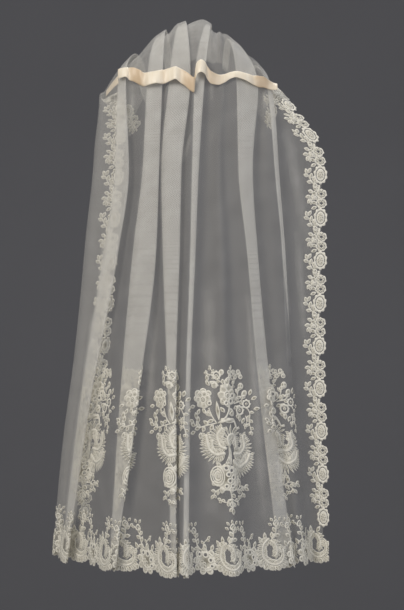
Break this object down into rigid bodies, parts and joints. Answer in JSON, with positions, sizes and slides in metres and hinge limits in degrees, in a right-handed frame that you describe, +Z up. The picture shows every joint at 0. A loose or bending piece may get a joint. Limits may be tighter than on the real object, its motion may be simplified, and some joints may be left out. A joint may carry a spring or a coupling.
{
  "type": "bridal veil",
  "caption": "Long bridal veil of pleated net with applied lace borders and bouquets and a satin ribbon, worn over the head and down the back.",
  "frame": {"origin": "on the net at the top of the wearer's head, where the head holds the veil up", "axes": "+Z up, +Y the way the wearer faces, so that the veil hangs down the back at -Y; +X to the wearer's right"},
  "size_m": [0.5431, 0.3607, 1.0714],
  "materials": {
    "cotton_net": "fine machine net, matt",
    "applied_lace": "closely worked lace, matt",
    "silk_satin": "satin, soft sheen"
  },
  "bodies": {
    "root": {"net": "cotton_net", "hem_lace": "applied_lace", "side_lace_left": "applied_lace", "side_lace_right": "applied_lace", "bouquet_1": "applied_lace", "bouquet_2": "applied_lace", "bouquet_3": "applied_lace", "bouquet_4": "applied_lace", "bouquet_5": "applied_lace", "ribbon": "silk_satin", "ribbon_under_net": "silk_satin"}
  },
  "joints": []
}
